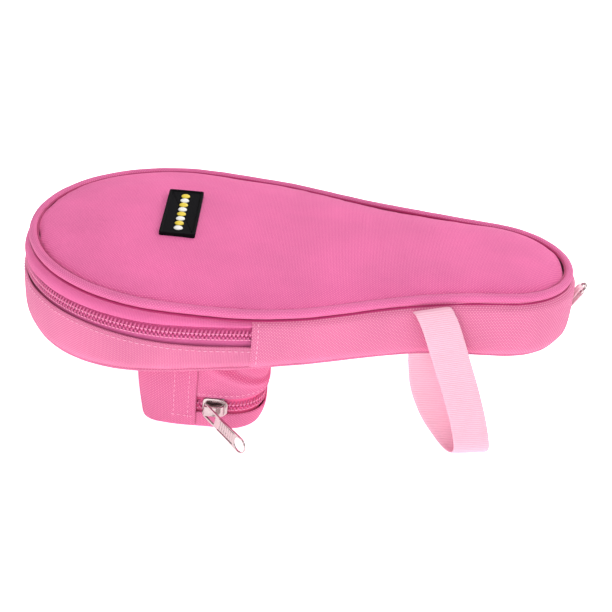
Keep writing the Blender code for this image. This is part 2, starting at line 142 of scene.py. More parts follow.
def ribbedCloth(name, light, dark, pitch, across, depth):
    # narrow woven tape: fine ribs with a thread grain between them; the rib crowns are coloured
    # lighter and the grooves darker, painted shade of the ribs
    material = startFinish(name, {"Roughness": 0.7, "Sheen Weight": 0.25,
        "Sheen Roughness": 0.4, "Specular IOR Level": 0.4})
    own = addNode(material, "UVMap", {}, uv_map="UVMap")
    parts = addNode(material, "SeparateXYZ", {0: own})
    wave = addMath(material, "SINE", addMath(material, "MULTIPLY", (parts, across),
        2.0 * math.pi / pitch))
    height = addMath(material, "MULTIPLY_ADD", addNoise(material, ribValues["grainScale"], 2.0),
        ribValues["grain"], wave)
    # colour follows the rib height: painted shade between the ribs, with the real thread grain
    # mixed in
    colour = mixColours(material, addRange(material, height, *ribValues["reliefShade"]), dark, light)
    return endFinish(material, colour, ribValues["strength"], depth, height)


def mouldedFinish(name, values, light, dark, grainSize, bumpDepth):
    # moulded or cast surface: faint mottling and a fine pitted grain
    material = startFinish(name, values)
    grain = addNoise(material, 1.0 / grainSize, 4.0, 0.6)
    return endFinish(material, mixColours(material, grain, dark, light), 0.3, bumpDepth, grain)


# coated oxford in slightly different colours: panels, walls, pouch, bases and piping; the top
# copy is darker and more saturated than the walls, painted shade on the top
shadedTopCloth = oxfordCloth("oxfordTopShaded", "#f886b8", "#dc5594")
wallCloth = oxfordCloth("oxfordWall", "#ea97b8", "#cc5585")
pouchCloth = oxfordCloth("oxfordPouch", "#e68eb3", "#c85082")
floorCloth = oxfordCloth("oxfordPouchBase", "#fa9cc6", "#e570a6")
pipingCloth = oxfordCloth("oxfordPiping", "#ee86b4", "#d2568f")
# thin taffeta, then the knitted tapes of the zips, and dark strips that stand for the shadow in
# the grooves by the top piping
liningCloth = ribbedCloth("liningTaffeta", "#f3a3c4", "#d97ba4", 0.0011, "X", 0.00005)
tapeCloth = ribbedCloth("zipTapeKnit", "#d6689c", "#b5447d", 0.0007, "Y", 0.00006)
# a lighter copy of the zip tape for the pouch zip: painted light in its recess
litPouchTapeCloth = ribbedCloth("pouchTapeKnitLit", "#fb6ea2", "#e04a86", 0.0007, "Y", 0.00006)
# dark strip cloth for the grooves: painted shadow
seamShade = ribbedCloth("grooveShadow", "#b52a6a", "#9a1f58", 0.0008, "X", 0.00003)
# a darker copy of the zip tape for the upper zip: painted shade
shadedTapeCloth = ribbedCloth("zipTapeInShadow", "#d0528a", "#ae3470", 0.0007, "Y", 0.00006)
# slightly glossy nylon monofilament, dyed with the tape
coilNylon = mouldedFinish("coilNylon", {"Roughness": 0.38, "Coat Weight": 0.15},
    "#ee74a8", "#bf4080", 0.0006, 0.00002)
# spun polyester thread, a plain one and a lighter one beside the coils
threadFinish = mouldedFinish("sewingThread", {"Roughness": 0.6, "Sheen Weight": 0.3},
    "#fbb4d2", "#e98bb6", 0.0004, 0.00003)
brightThread = mouldedFinish("zipThread", {"Roughness": 0.55, "Sheen Weight": 0.3},
    "#fb9cc4", "#e872a6", 0.0004, 0.00003)
# polyester webbing of the strap and the pale tape that holds the ring
webbingCloth = ribbedCloth("webbingPolyester", "#eebdcd", "#dfa0b7", 0.00115, "X", 0.00006)
tabCloth = ribbedCloth("tabTape", "#fbe3e6", "#e8bccb", 0.0008, "Y", 0.00006)
# moulded soft rubber: near black, satin, faint grain
labelRubber = mouldedFinish("labelRubber", {"Roughness": 0.8, "Specular IOR Level": 0.08},
    "#0d0b10", "#050406", 0.0007, 0.00004)
# printed rubber ink, matt
dotWhite = mouldedFinish("dotWhite", {"Roughness": 0.5}, "#f4f2ee", "#e2ded9", 0.0008, 0.00003)
dotYellow = mouldedFinish("dotYellow", {"Roughness": 0.5}, "#f0d648", "#dfbf2e", 0.0008,
    0.00003)
# plated zinc: bright nickel with a little haze from the casting
nickel = mouldedFinish("nickelPlate", {"Metallic": 1.0, "Roughness": 0.2}, "#c9bdbc",
    "#a99c9c", 0.0011, 0.00003)
print("finishes made")


shape = {"roundLong": 0.0880, "roundWide": 0.0870, "tailRadius": 0.0464, "length": 0.300,
    "shoulderOut": 0.0826, "shoulderIn": 0.0990, "tailTurn": 0.160,
    "bottom": 0.0480, "topRound": 0.0852, "topTail": 0.0826,
    "piping": 0.0046, "pipingHeight": 0.0050, "foldNear": 0.0396, "foldFar": 0.0280,
    "foldHeight": 0.0912, "foldReach": (-0.002, 0.028), "zipHeight": 0.0683, "bulge": 0.0026,
    "sagRound": 0.0125, "sagTail": 0.0020, "sagWaist": 0.0016}
upward = Vector((0.0, 0.0, 1.0))
shape["tailX"] = shape["length"] - shape["roundLong"] - shape["tailRadius"]


def smoothStep(value):
    value = min(max(value, 0.0), 1.0)
    return value * value * (3.0 - 2.0 * value)


def arcPoints(x, y, radius, first, last, steps):
    angles = [math.radians(first + (last - first) * i / steps) for i in range(steps + 1)]
    return [Vector((x + radius * math.cos(a), y + radius * math.sin(a))) for a in angles]


def makeTrack(points):
    # a closed outline with its running length, clockwise from above
    lengths = [0.0]
    for i, point in enumerate(points):
        after = points[(i + 1) % len(points)]
        lengths.append(lengths[-1] + (after - point).length)
    return {"points": points, "lengths": lengths, "total": lengths[-1]}


def trackAt(track, s):
    # place and outward direction at a fraction of the outline
    points, lengths = track["points"], track["lengths"]
    want = (s % 1.0) * track["total"]
    low, high = 0, len(points)
    while high - low > 1:
        middle = (low + high) // 2
        if lengths[middle] <= want:
            low = middle
        else:
            high = middle
    count = len(points)
    part = (want - lengths[low]) / max(lengths[low + 1] - lengths[low], 1e-9)
    ends = []
    for k in (low, low + 1):
        along = points[(k + 1) % count] - points[(k - 1) % count]
        ends.append(Vector((-along.y, along.x)).normalized())
    place = points[low].lerp(points[(low + 1) % count], part)
    return place, ends[0].lerp(ends[1], part).normalized()


def trackFraction(track, x, side):
    # where the outline passes x on the side with that sign of y
    points = track["points"]
    for i, point in enumerate(points):
        after = points[(i + 1) % len(points)]
        if (point.x - x) * (after.x - x) <= 0.0 and point.y * side > 0.0 and point.x != after.x:
            part = (x - point.x) / (after.x - point.x)
            return (track["lengths"][i] + part * (after - point).length) / track["total"]
    return 0.0


def caseTrack():
    # half the outline: round end, a curve along the shoulder, and the handle end
    half, steps, tailSteps = [], 60, 40
    for i in range(steps):
        angle = math.pi - 0.5 * math.pi * i / steps
        half.append(Vector((shape["roundLong"] * math.cos(angle),
            shape["roundWide"] * math.sin(angle))))
    turn = shape["tailTurn"]
    start = Vector((0.0, shape["roundWide"]))
    lead = start + Vector((shape["shoulderOut"], 0.0))
    end = Vector((shape["tailX"], 0.0)) + shape["tailRadius"] * Vector((math.sin(turn),
        math.cos(turn)))
    follow = end - shape["shoulderIn"] * Vector((math.cos(turn), -math.sin(turn)))
    for i in range(steps):
        t = i / steps
        u = 1.0 - t
        half.append(u ** 3 * start + 3 * u * u * t * lead + 3 * u * t * t * follow + t ** 3 * end)
    half += arcPoints(shape["tailX"], 0.0, shape["tailRadius"],
        math.degrees(0.5 * math.pi - turn), 0.0, tailSteps)
    return makeTrack(half + [Vector((p.x, -p.y)) for p in reversed(half[1:-1])])


pouch = {"low": Vector((-0.0190, -0.0640)), "high": Vector((0.0478, 0.0640)), "corner": 0.012,
    "opening": 0.019, "seam": 0.0117, "zipHeight": 0.0122, "band": 0.0180,
    "strip": 0.0084, "top": 0.0478, "base": -0.0044}


def pouchTrack():
    # four rounded corners, the two at the opening wider, with straight runs between
    low, high, radius = pouch["low"], pouch["high"], pouch["corner"]
    wide, spacing = pouch["opening"], 0.004
    points = (arcPoints(low.x + radius, high.y - radius, radius, 180, 90, 12)
        + arcPoints(high.x - wide, high.y - wide, wide, 90, 0, 12)
        + arcPoints(high.x - wide, low.y + wide, wide, 0, -90, 12)
        + arcPoints(low.x + radius, low.y + radius, radius, -90, -180, 12))
    filled = []
    for i, point in enumerate(points):
        after = points[(i + 1) % len(points)]
        steps = max(1, int((after - point).length / spacing))
        filled += [point.lerp(after, k / steps) for k in range(steps)]
    return makeTrack(filled)


caseEdge = caseTrack()
pouchEdge = pouchTrack()
foldFar = trackFraction(caseEdge, shape["foldFar"], 1)
foldNear = trackFraction(caseEdge, shape["foldNear"], -1)
pouchFar = trackFraction(pouchEdge, pouch["seam"], 1)
pouchNear = trackFraction(pouchEdge, pouch["seam"], -1)
foldAlong = Vector((shape["foldFar"] - shape["foldNear"], 2 * shape["roundWide"], 0)).normalized()
foldTo = Vector((-foldAlong.y, foldAlong.x, 0.0))
foldMiddle = Vector((0.5 * (shape["foldFar"] + shape["foldNear"]), 0.0, shape["foldHeight"]))
foldStart, foldEnd = (foldMiddle + reach * foldTo for reach in shape["foldReach"])


def topLevel(x):
    # height of the top seam, with a slight dip before the handle
    part = (x + shape["roundLong"]) / shape["length"]
    dip = 0.0012 * smoothStep((x + 0.01) / 0.05) - 0.0028 * smoothStep((x - 0.06) / 0.09)
    return shape["topRound"] + (shape["topTail"] - shape["topRound"]) * part - dip


def rimSag(x):
    # the rim hangs below the pouch seam, most at the round end
    waist = smoothStep((x - 0.03) / 0.03) * (1.0 - smoothStep((x - 0.12) / 0.05))
    return (shape["sagRound"] * smoothStep((0.045 - x) / 0.13)
        + shape["sagTail"] * smoothStep((x - 0.13) / 0.07) - shape["sagWaist"] * waist)


def bottomLevel(x):
    return shape["bottom"] - rimSag(x)


def bulgeAt(x, height):
    # how far the padded wall stands out between its two seams
    low, high = bottomLevel(x), topLevel(x)
    part = min(max((height - low) / (high - low), 0.0), 1.0)
    full = shape["bulge"] * (1.0 - 0.75 * smoothStep((x + 0.01) / 0.055))
    full += 0.0009 * smoothStep((x - 0.06) / 0.05)
    return full * math.sin(math.pi * part) ** 0.55


def deselectAll():
    if bpy.context.object and bpy.context.object.mode != "OBJECT":
        bpy.ops.object.mode_set(mode="OBJECT")
    bpy.ops.object.select_all(action="DESELECT")


def pick(piece):
    deselectAll()
    bpy.context.view_layer.objects.active = piece
    piece.select_set(True)


def editAll():
    bpy.ops.object.mode_set(mode="EDIT")
    bpy.ops.mesh.select_all(action="SELECT")


def applyAll(piece):
    pick(piece)
    for modifier in list(piece.modifiers):
        bpy.ops.object.modifier_apply(modifier=modifier.name)


def joinPieces(first, others):
    pick(first)
    for piece in others:
        piece.select_set(True)
    bpy.ops.object.join()
    return first


def closeSeams(piece, outward=False, reach=0.00002):
    pick(piece)
    editAll()
    bpy.ops.mesh.remove_doubles(threshold=reach)
    if outward:
        bpy.ops.mesh.normals_make_consistent(inside=False)
    bpy.ops.object.mode_set(mode="OBJECT")


def settle(piece, name, finish, body, nodes, smoothAngle=40):
    # name, finish, shading and place in the assembly for a finished piece
    piece.name = piece.data.name = name
    piece.data.materials.clear()
    piece.data.materials.append(finish)
    pick(piece)
    bpy.ops.object.shade_smooth_by_angle(angle=math.radians(smoothAngle))
    if body:
        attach(piece, body)
    if nodes:
        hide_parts(*nodes)
    piece.select_set(False)
    return piece


def standOut(point, outward, shift, height):
    return Vector((point.x + outward.x * shift, point.y + outward.y * shift, height))


def layGrid(columns, rows, placeAt, lengths):
    # a grid primitive laid on a surface; its UV map is in metres
    deselectAll()
    bpy.ops.mesh.primitive_grid_add(x_subdivisions=columns, y_subdivisions=rows, size=1.0)
    piece = bpy.context.object
    for vert in piece.data.vertices:
        vert.co = placeAt(vert.co.x + 0.5, vert.co.y + 0.5)
    for loop in piece.data.uv_layers[0].data:
        loop.uv = (loop.uv[0] * lengths[0], loop.uv[1] * lengths[1])
    return piece


def layBand(track, span, profile, columns, rows, height, closed=False):
    # cloth that follows an outline; profile gives outward shift and height at s and t
    def placeAt(a, b):
        s = span[1] + (span[0] - span[1]) * a
        point, outward = trackAt(track, s)
        return standOut(point, outward, *profile(s, b, point))
    piece = layGrid(columns, rows, placeAt, ((span[1] - span[0]) * track["total"], height))
    if closed:
        closeSeams(piece)
    return piece


def thicken(piece, thickness, levels=1):
    solid = piece.modifiers.new("thickness", "SOLIDIFY")
    solid.thickness = thickness
    solid.offset = -1.0
    if levels:
        soft = piece.modifiers.new("soft", "SUBSURF")
        soft.levels = soft.render_levels = levels
    applyAll(piece)
    return piece


stitchValues = {"upPitch": 0.0031, "pouchPitch": 0.0029, "wallLift": 0.00078,
    "pouchLift": 0.00115, "flat": 0.8, "hemDrop": 0.0024, "hemLift": 0.00022,
    "hemSize": (0.0011, 0.00026), "endIn": 0.0034, "endRise": 0.0055, "endCount": 9,
    "endSize": (0.00105, 0.00022), "pouchCount": 13, "pouchRise": 0.0058, "pouchHem": 0.0060,
    "bandRise": 0.0022, "bandLift": 0.0001, "pouchWidth": 0.00024}


def sewRow(name, places, finish, body, size):
    # one stitch is modelled and copied along the row; places are (centre, along, outward)
    deselectAll()
    bpy.ops.mesh.primitive_uv_sphere_add(segments=6, ring_count=4, radius=1.0)
    stitch = bpy.context.object
    verts = [v.co.copy() for v in stitch.data.vertices]
    faces = [tuple(f.vertices) for f in stitch.data.polygons]
    allVerts, allFaces = [], []
    for centre, along, outward in places:
        along = along.normalized()
        side = outward.cross(along).normalized()
        up = along.cross(side)
        first = len(allVerts)
        for v in verts:
            allVerts.append(centre + along * (v.z * size[0]) + side * (v.x * size[1])
                + up * (v.y * size[1] * stitchValues["flat"]))
        allFaces += [tuple(first + k for k in face) for face in faces]
    stitch.data.clear_geometry()
    stitch.data.from_pydata([v[:] for v in allVerts], [], allFaces)
    stitch.data.update()
    return settle(stitch, name, finish, body, (), 180)


def rowAlong(track, span, pitch, profile):
    # stitch places along an outline at a set pitch
    count = max(2, int((span[1] - span[0]) * track["total"] / pitch))
    places = []
    for i in range(count):
        s = span[0] + (span[1] - span[0]) * (i + 0.5) / count
        point, outward = trackAt(track, s)
        places.append((standOut(point, outward, *profile(s, point)),
            Vector((outward.y, -outward.x, 0.0)), outward.to_3d()))
    return places


def rowUp(track, s, lowAt, count, lift, shiftAt):
    # stitch places up a wall, at one spot of its outline
    point, outward = trackAt(track, s)
    heights = [lowAt(point) + stitchValues["upPitch"] * i for i in range(count)]
    return [(standOut(point, outward, shiftAt(s, point, height) + lift, height), upward,
        outward.to_3d()) for height in heights]


def smoothRoute(points, steps):
    # points along a smooth curve through the given ones
    points = [Vector(p) for p in points]
    ends = [2 * points[0] - points[1]] + points + [2 * points[-1] - points[-2]]
    path = []
    for i in range(1, len(ends) - 2):
        a, b, c, d = ends[i - 1:i + 3]
        for k in range(steps):
            t = k / steps
            path.append(0.5 * (2 * b + (c - a) * t + (2 * a - 5 * b + 4 * c - d) * t * t
                + (3 * b - a - 3 * c + d) * t ** 3))
    return path + [points[-1]]


def flatMap(pad):
    # the weave lies along X and Y of the rest shape, in the piece's own UV map
    layer = pad.data.uv_layers.get("UVMap") or pad.data.uv_layers.new(name="UVMap")
    for loop in pad.data.loops:
        spot = pad.data.vertices[loop.vertex_index].co
        layer.data[loop.index].uv = (spot.x, spot.y)


airFrames = 20
airValues = {"quality": 6, "mass": 0.3, "tension_stiffness": 12.0,
    "compression_stiffness": 12.0, "bending_stiffness": 2.0, "use_pressure": True}


def puffUp(pad, voxel, pressure, capAt):
    # the closed shape is remeshed, swollen by air pressure, and held to a small movement
    remesh = pad.modifiers.new("even", "REMESH")
    remesh.mode = "VOXEL"
    remesh.voxel_size = voxel
    applyAll(pad)
    rest = [v.co.copy() for v in pad.data.vertices]
    cloth = pad.modifiers.new("air", "CLOTH")
    for key, value in airValues.items():
        setattr(cloth.settings, key, value)
    cloth.settings.uniform_pressure_force = pressure
    cloth.settings.effector_weights.gravity = 0.0
    cloth.point_cache.frame_start = 1
    cloth.point_cache.frame_end = airFrames
    for step in range(1, airFrames + 1):
        bpy.context.scene.frame_set(step)
    applyAll(pad)
    bpy.context.scene.frame_set(1)
    for vert, start in zip(pad.data.vertices, rest):
        move = vert.co - start
        most = capAt(start)
        if move.length > most:
            vert.co = start + move * (most / move.length)
    soft = pad.modifiers.new("soft", "SUBSURF")
    soft.levels = soft.render_levels = 1
    applyAll(pad)
    flatMap(pad)
    return pad


# the padded top, with its foam inside
topValues = {"rings": 9, "voxel": 0.0042, "pressure": 4.0, "thick": 0.0052, "capMiddle": 0.0016,
    "capEdge": 0.0007, "inset": 0.0024, "drop": 0.0022, "hollow": 0.00035,
    "crownMost": 0.0074, "crownFall": 0.0032}
liningValues = {"inset": 0.0052, "thick": 0.0008, "columns": 110, "topDrop": 0.0086,
    "bottomRise": 0.0056, "back": 0.0034, "tailRise": 0.0050, "tailDrop": 0.0070,
    "tailThick": 0.0006}


def topCrown(x):
    # the padding stands highest over the round end
    return topValues["crownMost"] - topValues["crownFall"] * smoothStep((x - 0.02) / 0.13)


def panelPoint(s, t, inset, level, crown, drop):
    # t runs from the middle line to the edge; the rise grows quickly from the edge
    edge, outward = trackAt(caseEdge, s)
    edge = edge - outward * inset
    spine = Vector((min(max(edge.x, 0.0), shape["tailX"]), 0.0))
    place = spine.lerp(edge, t)
    return Vector((place.x, place.y, level(place.x) - drop + crown(place.x) * (1.0 - t ** 4)))


def layPad(inset, level, crown, thickness, columns=150):
    # a closed flat pad: over the top, round the edge and back underneath
    rows = 2 * topValues["rings"] + 1

    def placeAt(a, b):
        row = round(b * rows)
        below = thickness if 2 * row < rows else 0.0
        t = (row if below else rows - row) / topValues["rings"]
        t = 1.0 - (1.0 - t) ** 1.6
        return panelPoint(1.0 - a, t, inset, level, crown, below)
    pad = layGrid(columns, rows, placeAt, (1.0, 1.0))
    closeSeams(pad, True, 0.0001)
    flatMap(pad)
    return pad


def topCap(start):
    middle = min(abs(start.y) / 0.07, 1.0)
    return topValues["capMiddle"] + (topValues["capEdge"] - topValues["capMiddle"]) * middle ** 2


topPanel = layPad(topValues["inset"], lambda x: topLevel(x) - topValues["drop"], topCrown,
    topValues["thick"])
puffUp(topPanel, topValues["voxel"], topValues["pressure"], topCap)
for vert in topPanel.data.vertices:
    # slow hollows that the cloth keeps from being sewn round a soft core
    wave = noise.noise(Vector((vert.co.x * 16.0, vert.co.y * 22.0, 1.7)))
    vert.co.z += topValues["hollow"] * wave
settle(topPanel, "topPanel", shadedTopCloth, None,
    ("lid_panel", "tail_panel", "lid_foam", "tail_foam"), 180)
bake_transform(topPanel)
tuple(foldStart)
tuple(foldEnd)


def layLining(level, crown):
    return layPad(liningValues["inset"], level, crown, liningValues["thick"],
        liningValues["columns"])


topLining = layLining(lambda x: topLevel(x) - liningValues["topDrop"], topCrown)
settle(topLining, "topLining", liningCloth, None,
    ("lid_lining", "tail_lining"), 60)
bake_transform(topLining)
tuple(foldStart)
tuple(foldEnd)
print("top made")


# rolls of cloth sewn into the top and bottom seams
pipingValues = {"sides": 14, "columns": 420, "wander": 0.00012, "bottom": (0.0044, 0.0028),
    "bottomInset": 0.0012, "bottomRise": 0.0012}
# dark strips that paint the shadow in the two grooves beside the top piping: inset, drop and
# width
grooveShadowValues = {"Outer": (0.0002, 0.0055, 0.0022), "Inner": (0.0041, 0.0017, 0.0012),
    "height": 0.0013}


def layPiping(name, level, nodes, body, finish, across, tallness, inset=0.0):
    def profile(s, t, point):
        angle = 2.0 * math.pi * (t - 0.25)
        half, tall = 0.5 * across, 0.5 * tallness
        wander = pipingValues["wander"] * noise.noise(Vector((s * 90.0, 2.0, t)))
        return (-inset - half + (half + wander) * math.cos(angle),
            level(point.x) + (tall + wander) * math.sin(angle))
    roll = layBand(caseEdge, (0.0, 1.0), profile, pipingValues["columns"],
        pipingValues["sides"], math.pi * shape["piping"], True)
    return settle(roll, name, finish, body, nodes, 180)


topPiping = layPiping("topPiping", lambda x: topLevel(x) - 0.5 * shape["pipingHeight"],
    ("lid_piping", "tail_piping"), None, pipingCloth, shape["piping"],
    shape["pipingHeight"])
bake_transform(topPiping)
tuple(foldStart)
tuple(foldEnd)
layPiping("bottomPiping", lambda x: bottomLevel(x) + pipingValues["bottomRise"],
    ("bottom_piping",), "case", wallCloth, *pipingValues["bottom"],
    pipingValues["bottomInset"])
# dark strips in both grooves beside the top piping: painted shadow
for word in ("Outer", "Inner"):
    inset, drop, wide = grooveShadowValues[word]
    groove = layPiping("grooveShadow" + word, lambda x: topLevel(x) - drop, (), None, seamShade,
        wide, grooveShadowValues["height"], inset)
    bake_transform(groove)
    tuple(foldStart)
    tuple(foldEnd)
print("piping made")


# the walls between the two seams
wallValues = {"tapeShown": 0.0056, "wall": 0.0012, "tapeDepth": 0.0021, "seam": 0.0030,
    "lowSeam": 0.0026, "wrinkle": 0.0005, "stitch": 0.0031, "tuck": 0.0010,
    "under": 0.0030, "tailProud": 0.0007}
roundRun = (foldNear - 1.0, foldFar)
tailRun = (foldFar, foldNear)


def waveRound(s, scale, height):
    # a slow wave that closes on itself round the outline
    turns = 2.0 * math.pi * s
    return noise.noise(Vector((math.cos(turns) * scale, math.sin(turns) * scale, height)))


def wallShift(s, point, height):
    # padded bulge, drawn in at the two seams, with slow waves of slack cloth
    low, high = bottomLevel(point.x) + 0.0008, topLevel(point.x) - 0.0042
    drawn = wallValues["seam"] * (1.0 - smoothStep((high - height - 0.0010) / 0.0024))
    drawn += wallValues["lowSeam"] * (1.0 - smoothStep((height - low) / 0.0056)) ** 1.5
    slack = wallValues["wrinkle"] * waveRound(s, 6.0, height * 60.0)
    return bulgeAt(point.x, height) - drawn + slack


def layWall(name, finish, track, run, lowAt, highAt, grid, node, body, shiftAt, proud, reach):
    # a wall of cloth; grid is columns and rows, reach is its height for the weave
    def profile(s, t, point):
        low, high = lowAt(point), highAt(point)
        height = low + (high - low) * t
        return shiftAt(s, point, height) + proud, height
    wall = thicken(layBand(track, run, profile, *grid, reach), wallValues["wall"])
    return settle(wall, name, finish, body, (node,), 60)


def widen(run, more):
    return run[0] - more, run[1] + more


zipLow = shape["zipHeight"] - wallValues["tapeShown"]
zipHigh = shape["zipHeight"] + wallValues["tapeShown"]


def lowerHem(point):
    # the folded edges close up on the zip towards the round end
    return zipLow + 0.0017 * smoothStep((0.03 - point.x) / 0.09)


def upperHem(point):
    return zipHigh - 0.0010 * smoothStep((0.03 - point.x) / 0.09)


def footOf(point):
    return bottomLevel(point.x) + wallValues["tuck"]


def headOf(point):
    return topLevel(point.x) - wallValues["under"]


lowerGusset = layWall("lowerGusset", wallCloth, caseEdge, widen(roundRun, 0.002), footOf,
    lowerHem, (190, 10), "lower_gusset", "case", wallShift, 0.0, 0.030)
# the strip under the top piping takes the darker top copy, painted shade under the piping
upperGusset = layWall("upperGusset", shadedTopCloth, caseEdge, roundRun, upperHem, headOf, (190, 5),
    "upper_gusset", None, wallShift, 0.0, 0.030)
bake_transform(upperGusset)
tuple(foldStart)
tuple(foldEnd)
tailGusset = layWall("tailGusset", wallCloth, caseEdge, widen(tailRun, 0.0008), footOf, headOf,
    (170, 16), "tail_gusset", "case", wallShift, wallValues["tailProud"], 0.030)


def liningProfile(s, t, point):
    low = bottomLevel(point.x) + liningValues["tailRise"]
    height = low + (topLevel(point.x) - liningValues["tailDrop"] - low) * t
    return bulgeAt(point.x, height) - liningValues["back"], height


tailLining = thicken(layBand(caseEdge, tailRun, liningProfile, liningValues["columns"], 6,
    0.026), liningValues["tailThick"], 0)
settle(tailLining, "tailLining", liningCloth, "case", ("tail_gusset_lining",))

# a row of sewing below the zip and one up the wall at each end of the zip
hemRow = rowAlong(caseEdge, roundRun, wallValues["stitch"], lambda s, p: (
    wallShift(s, p, lowerHem(p) - stitchValues["hemDrop"]) + stitchValues["hemLift"],
    lowerHem(p) - stitchValues["hemDrop"]))
sewRow("lowerGussetStitches", hemRow, threadFinish, "case",
    stitchValues["hemSize"])
endRows = [place for at in (tailRun[1] - stitchValues["endIn"],
    tailRun[0] + stitchValues["endIn"])
    for place in rowUp(caseEdge, at, lambda p: bottomLevel(p.x) + stitchValues["endRise"],
    stitchValues["endCount"], stitchValues["wallLift"], wallShift)]
sewRow("tailGussetStitches", endRows, threadFinish, "case",
    stitchValues["endSize"])
print("walls made")


# the zips: tape, coil and sewing on each half
zipValues = {"pitch": 0.0021, "wire": 0.00048, "rise": 0.0012, "reach": {1: 0.0036, -1: 0.0024},
    "pouchReach": {1: 0.0029, -1: 0.0022}, "thread": (0.00095, 0.00036),
    "threadAt": 0.0016, "tapeThick": 0.0007, "halfGap": 0.0001}


def layTape(name, track, run, low, high, shiftAt, finish, body, nodes, columns):
    def profile(s, t, point):
        height = low + (high - low) * t
        return shiftAt(s, point, height), height
    tape = thicken(layBand(track, run, profile, columns, 4, high - low),
        zipValues["tapeThick"], 0)
    return settle(tape, name, finish, body, nodes)


def layCoil(name, track, run, zipAt, shiftAt, side, reach, body, nodes):
    # one nylon loop is modelled as a bent tube of six sides and repeated along the chain
    deselectAll()
    bpy.ops.mesh.primitive_cylinder_add(vertices=6, radius=1.0, depth=1.0)
    coil = bpy.context.object
    # steps of the loop: along the chain, away from the middle, out of the tape, thickness
    steps = ((0.00, -0.00015, 0.25, 0.7), (0.00, 0.00035, 0.95, 1.15), (0.0002, 0.0012, 1.0, 1.0),
        (0.0006, 0.75 * reach, 0.9, 1.0), (0.0009, reach, 0.35, 0.9),
        (0.0010, reach + 0.0002, -0.25, 0.5))
    count = int((run[1] - run[0]) * track["total"] / zipValues["pitch"])
    verts, faces = [], []
    for i in range(count):
        s = run[0] + (run[1] - run[0]) * (i + (0.5 if side > 0 else 0.0)) / count
        point, outward = trackAt(track, s)
        along = Vector((-outward.y, outward.x, 0.0))
        out = outward.to_3d()
        base = shiftAt(s, point, zipAt)
        first = len(verts)
        for forward, up, rise, thick in steps:
            centre = (point.to_3d() + out * (base + rise * zipValues["rise"] - 0.0002)
                + along * forward + Vector((0, 0, zipAt + side * up)))
            for k in range(6):
                angle = math.pi * k / 3.0
                verts.append(centre + along * (math.cos(angle) * zipValues["wire"] * thick * 1.1)
                    + out * (math.sin(angle) * zipValues["wire"] * thick * 0.8))
        last = len(steps) - 1
        for j in range(last):
            for k in range(6):
                m = (k + 1) % 6
                a, b = first + 6 * j, first + 6 * (j + 1)
                quad = (a + k, a + m, b + m, b + k)
                faces.append(quad if side > 0 else quad[::-1])
        ends = (tuple(first + k for k in range(6)), tuple(first + 6 * last + k for k in range(6)))
        faces.append(ends[0][::-1] if side > 0 else ends[0])
        faces.append(ends[1] if side > 0 else ends[1][::-1])
    coil.data.clear_geometry()
    coil.data.from_pydata([v[:] for v in verts], [], faces)
    coil.data.update()
    closeSeams(coil, True, 0.0000001)
    return settle(coil, name, coilNylon, body, nodes, 60)


def layZipThread(name, track, run, zipAt, shiftAt, side, body):
    rows = rowAlong(track, run, zipValues["pitch"], lambda s, p: (
        shiftAt(s, p, zipAt) + zipValues["rise"] + 0.0002,
        zipAt + side * zipValues["threadAt"]))
    return sewRow(name, rows, brightThread, body, zipValues["thread"])


def layZip(name, node, track, run, zipAt, end, shiftAt, side, reach, cloth, columns, body):
    # one half of a zip, from the middle of the chain to the far edge of its tape
    inner = zipAt + side * zipValues["halfGap"]
    low, high = min(inner, end), max(inner, end)
    return [layTape(name + "Tape", track, run, low, high, shiftAt, cloth, body,
        (node + "_tape",), columns),
        layCoil(name + "Coil", track, run, zipAt, shiftAt, side, reach[side], body,
        (node + "_coil",)),
        layZipThread(name + "ZipThread", track, run, zipAt, shiftAt, side, body)]


def tapeShift(s, point, height):
    return bulgeAt(point.x, height) - wallValues["tapeDepth"]


layZip("lower", "lower_zip", caseEdge, roundRun, shape["zipHeight"], zipLow - 0.0015, tapeShift,
    -1, zipValues["reach"], tapeCloth, 170, "case")
# the upper zip's tape is the darker copy, painted shade under the top seam
for piece in layZip("upper", "upper_zip", caseEdge, roundRun, shape["zipHeight"],
        zipHigh + 0.0015, tapeShift, 1, zipValues["reach"], shadedTapeCloth, 170, None):
    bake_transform(piece)
    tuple(foldStart)
    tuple(foldEnd)
print("main zip made")


bottomValues = {"inset": 0.0030, "rise": 0.0042, "thick": 0.0044, "voxel": 0.0028,
    "pressure": 2.0, "cap": 0.0006}
bottomPanel = layPad(bottomValues["inset"], lambda x: bottomLevel(x) + bottomValues["rise"],
    rimSag, bottomValues["thick"])
puffUp(bottomPanel, bottomValues["voxel"], bottomValues["pressure"],
    lambda start: bottomValues["cap"])
settle(bottomPanel, "bottomPanel", floorCloth, "case",
    ("bottom_panel", "bottom_foam"), 180)
bottomLining = layLining(lambda x: bottomLevel(x) + liningValues["bottomRise"], rimSag)
settle(bottomLining, "bottomLining", liningCloth, "case", ("bottom_lining",),
    60)
print("bottom made")


# the ball pouch underneath
pouchValues = {"bulge": 0.0016, "taper": 0.0034, "tuck": 0.0030, "tapeDepth": 0.0016,
    "crease": 0.0019, "slack": 0.0007, "gussetLow": -0.0020, "stripLow": -0.0026,
    "proud": 0.0011, "pressure": 2.0, "voxel": 0.0021, "cap": 0.0004, "liningIn": 0.0026,
    "liningLow": 0.014, "liningThick": 0.0005, "baseMiddle": (0.0145, 0.045),
    "baseUnder": 0.0003, "baseOver": 0.0035, "baseRims": (0.0013, -0.0012)}
pouchRun = (pouchFar, pouchNear)
plainRun = (pouchNear - 1.0, pouchFar)


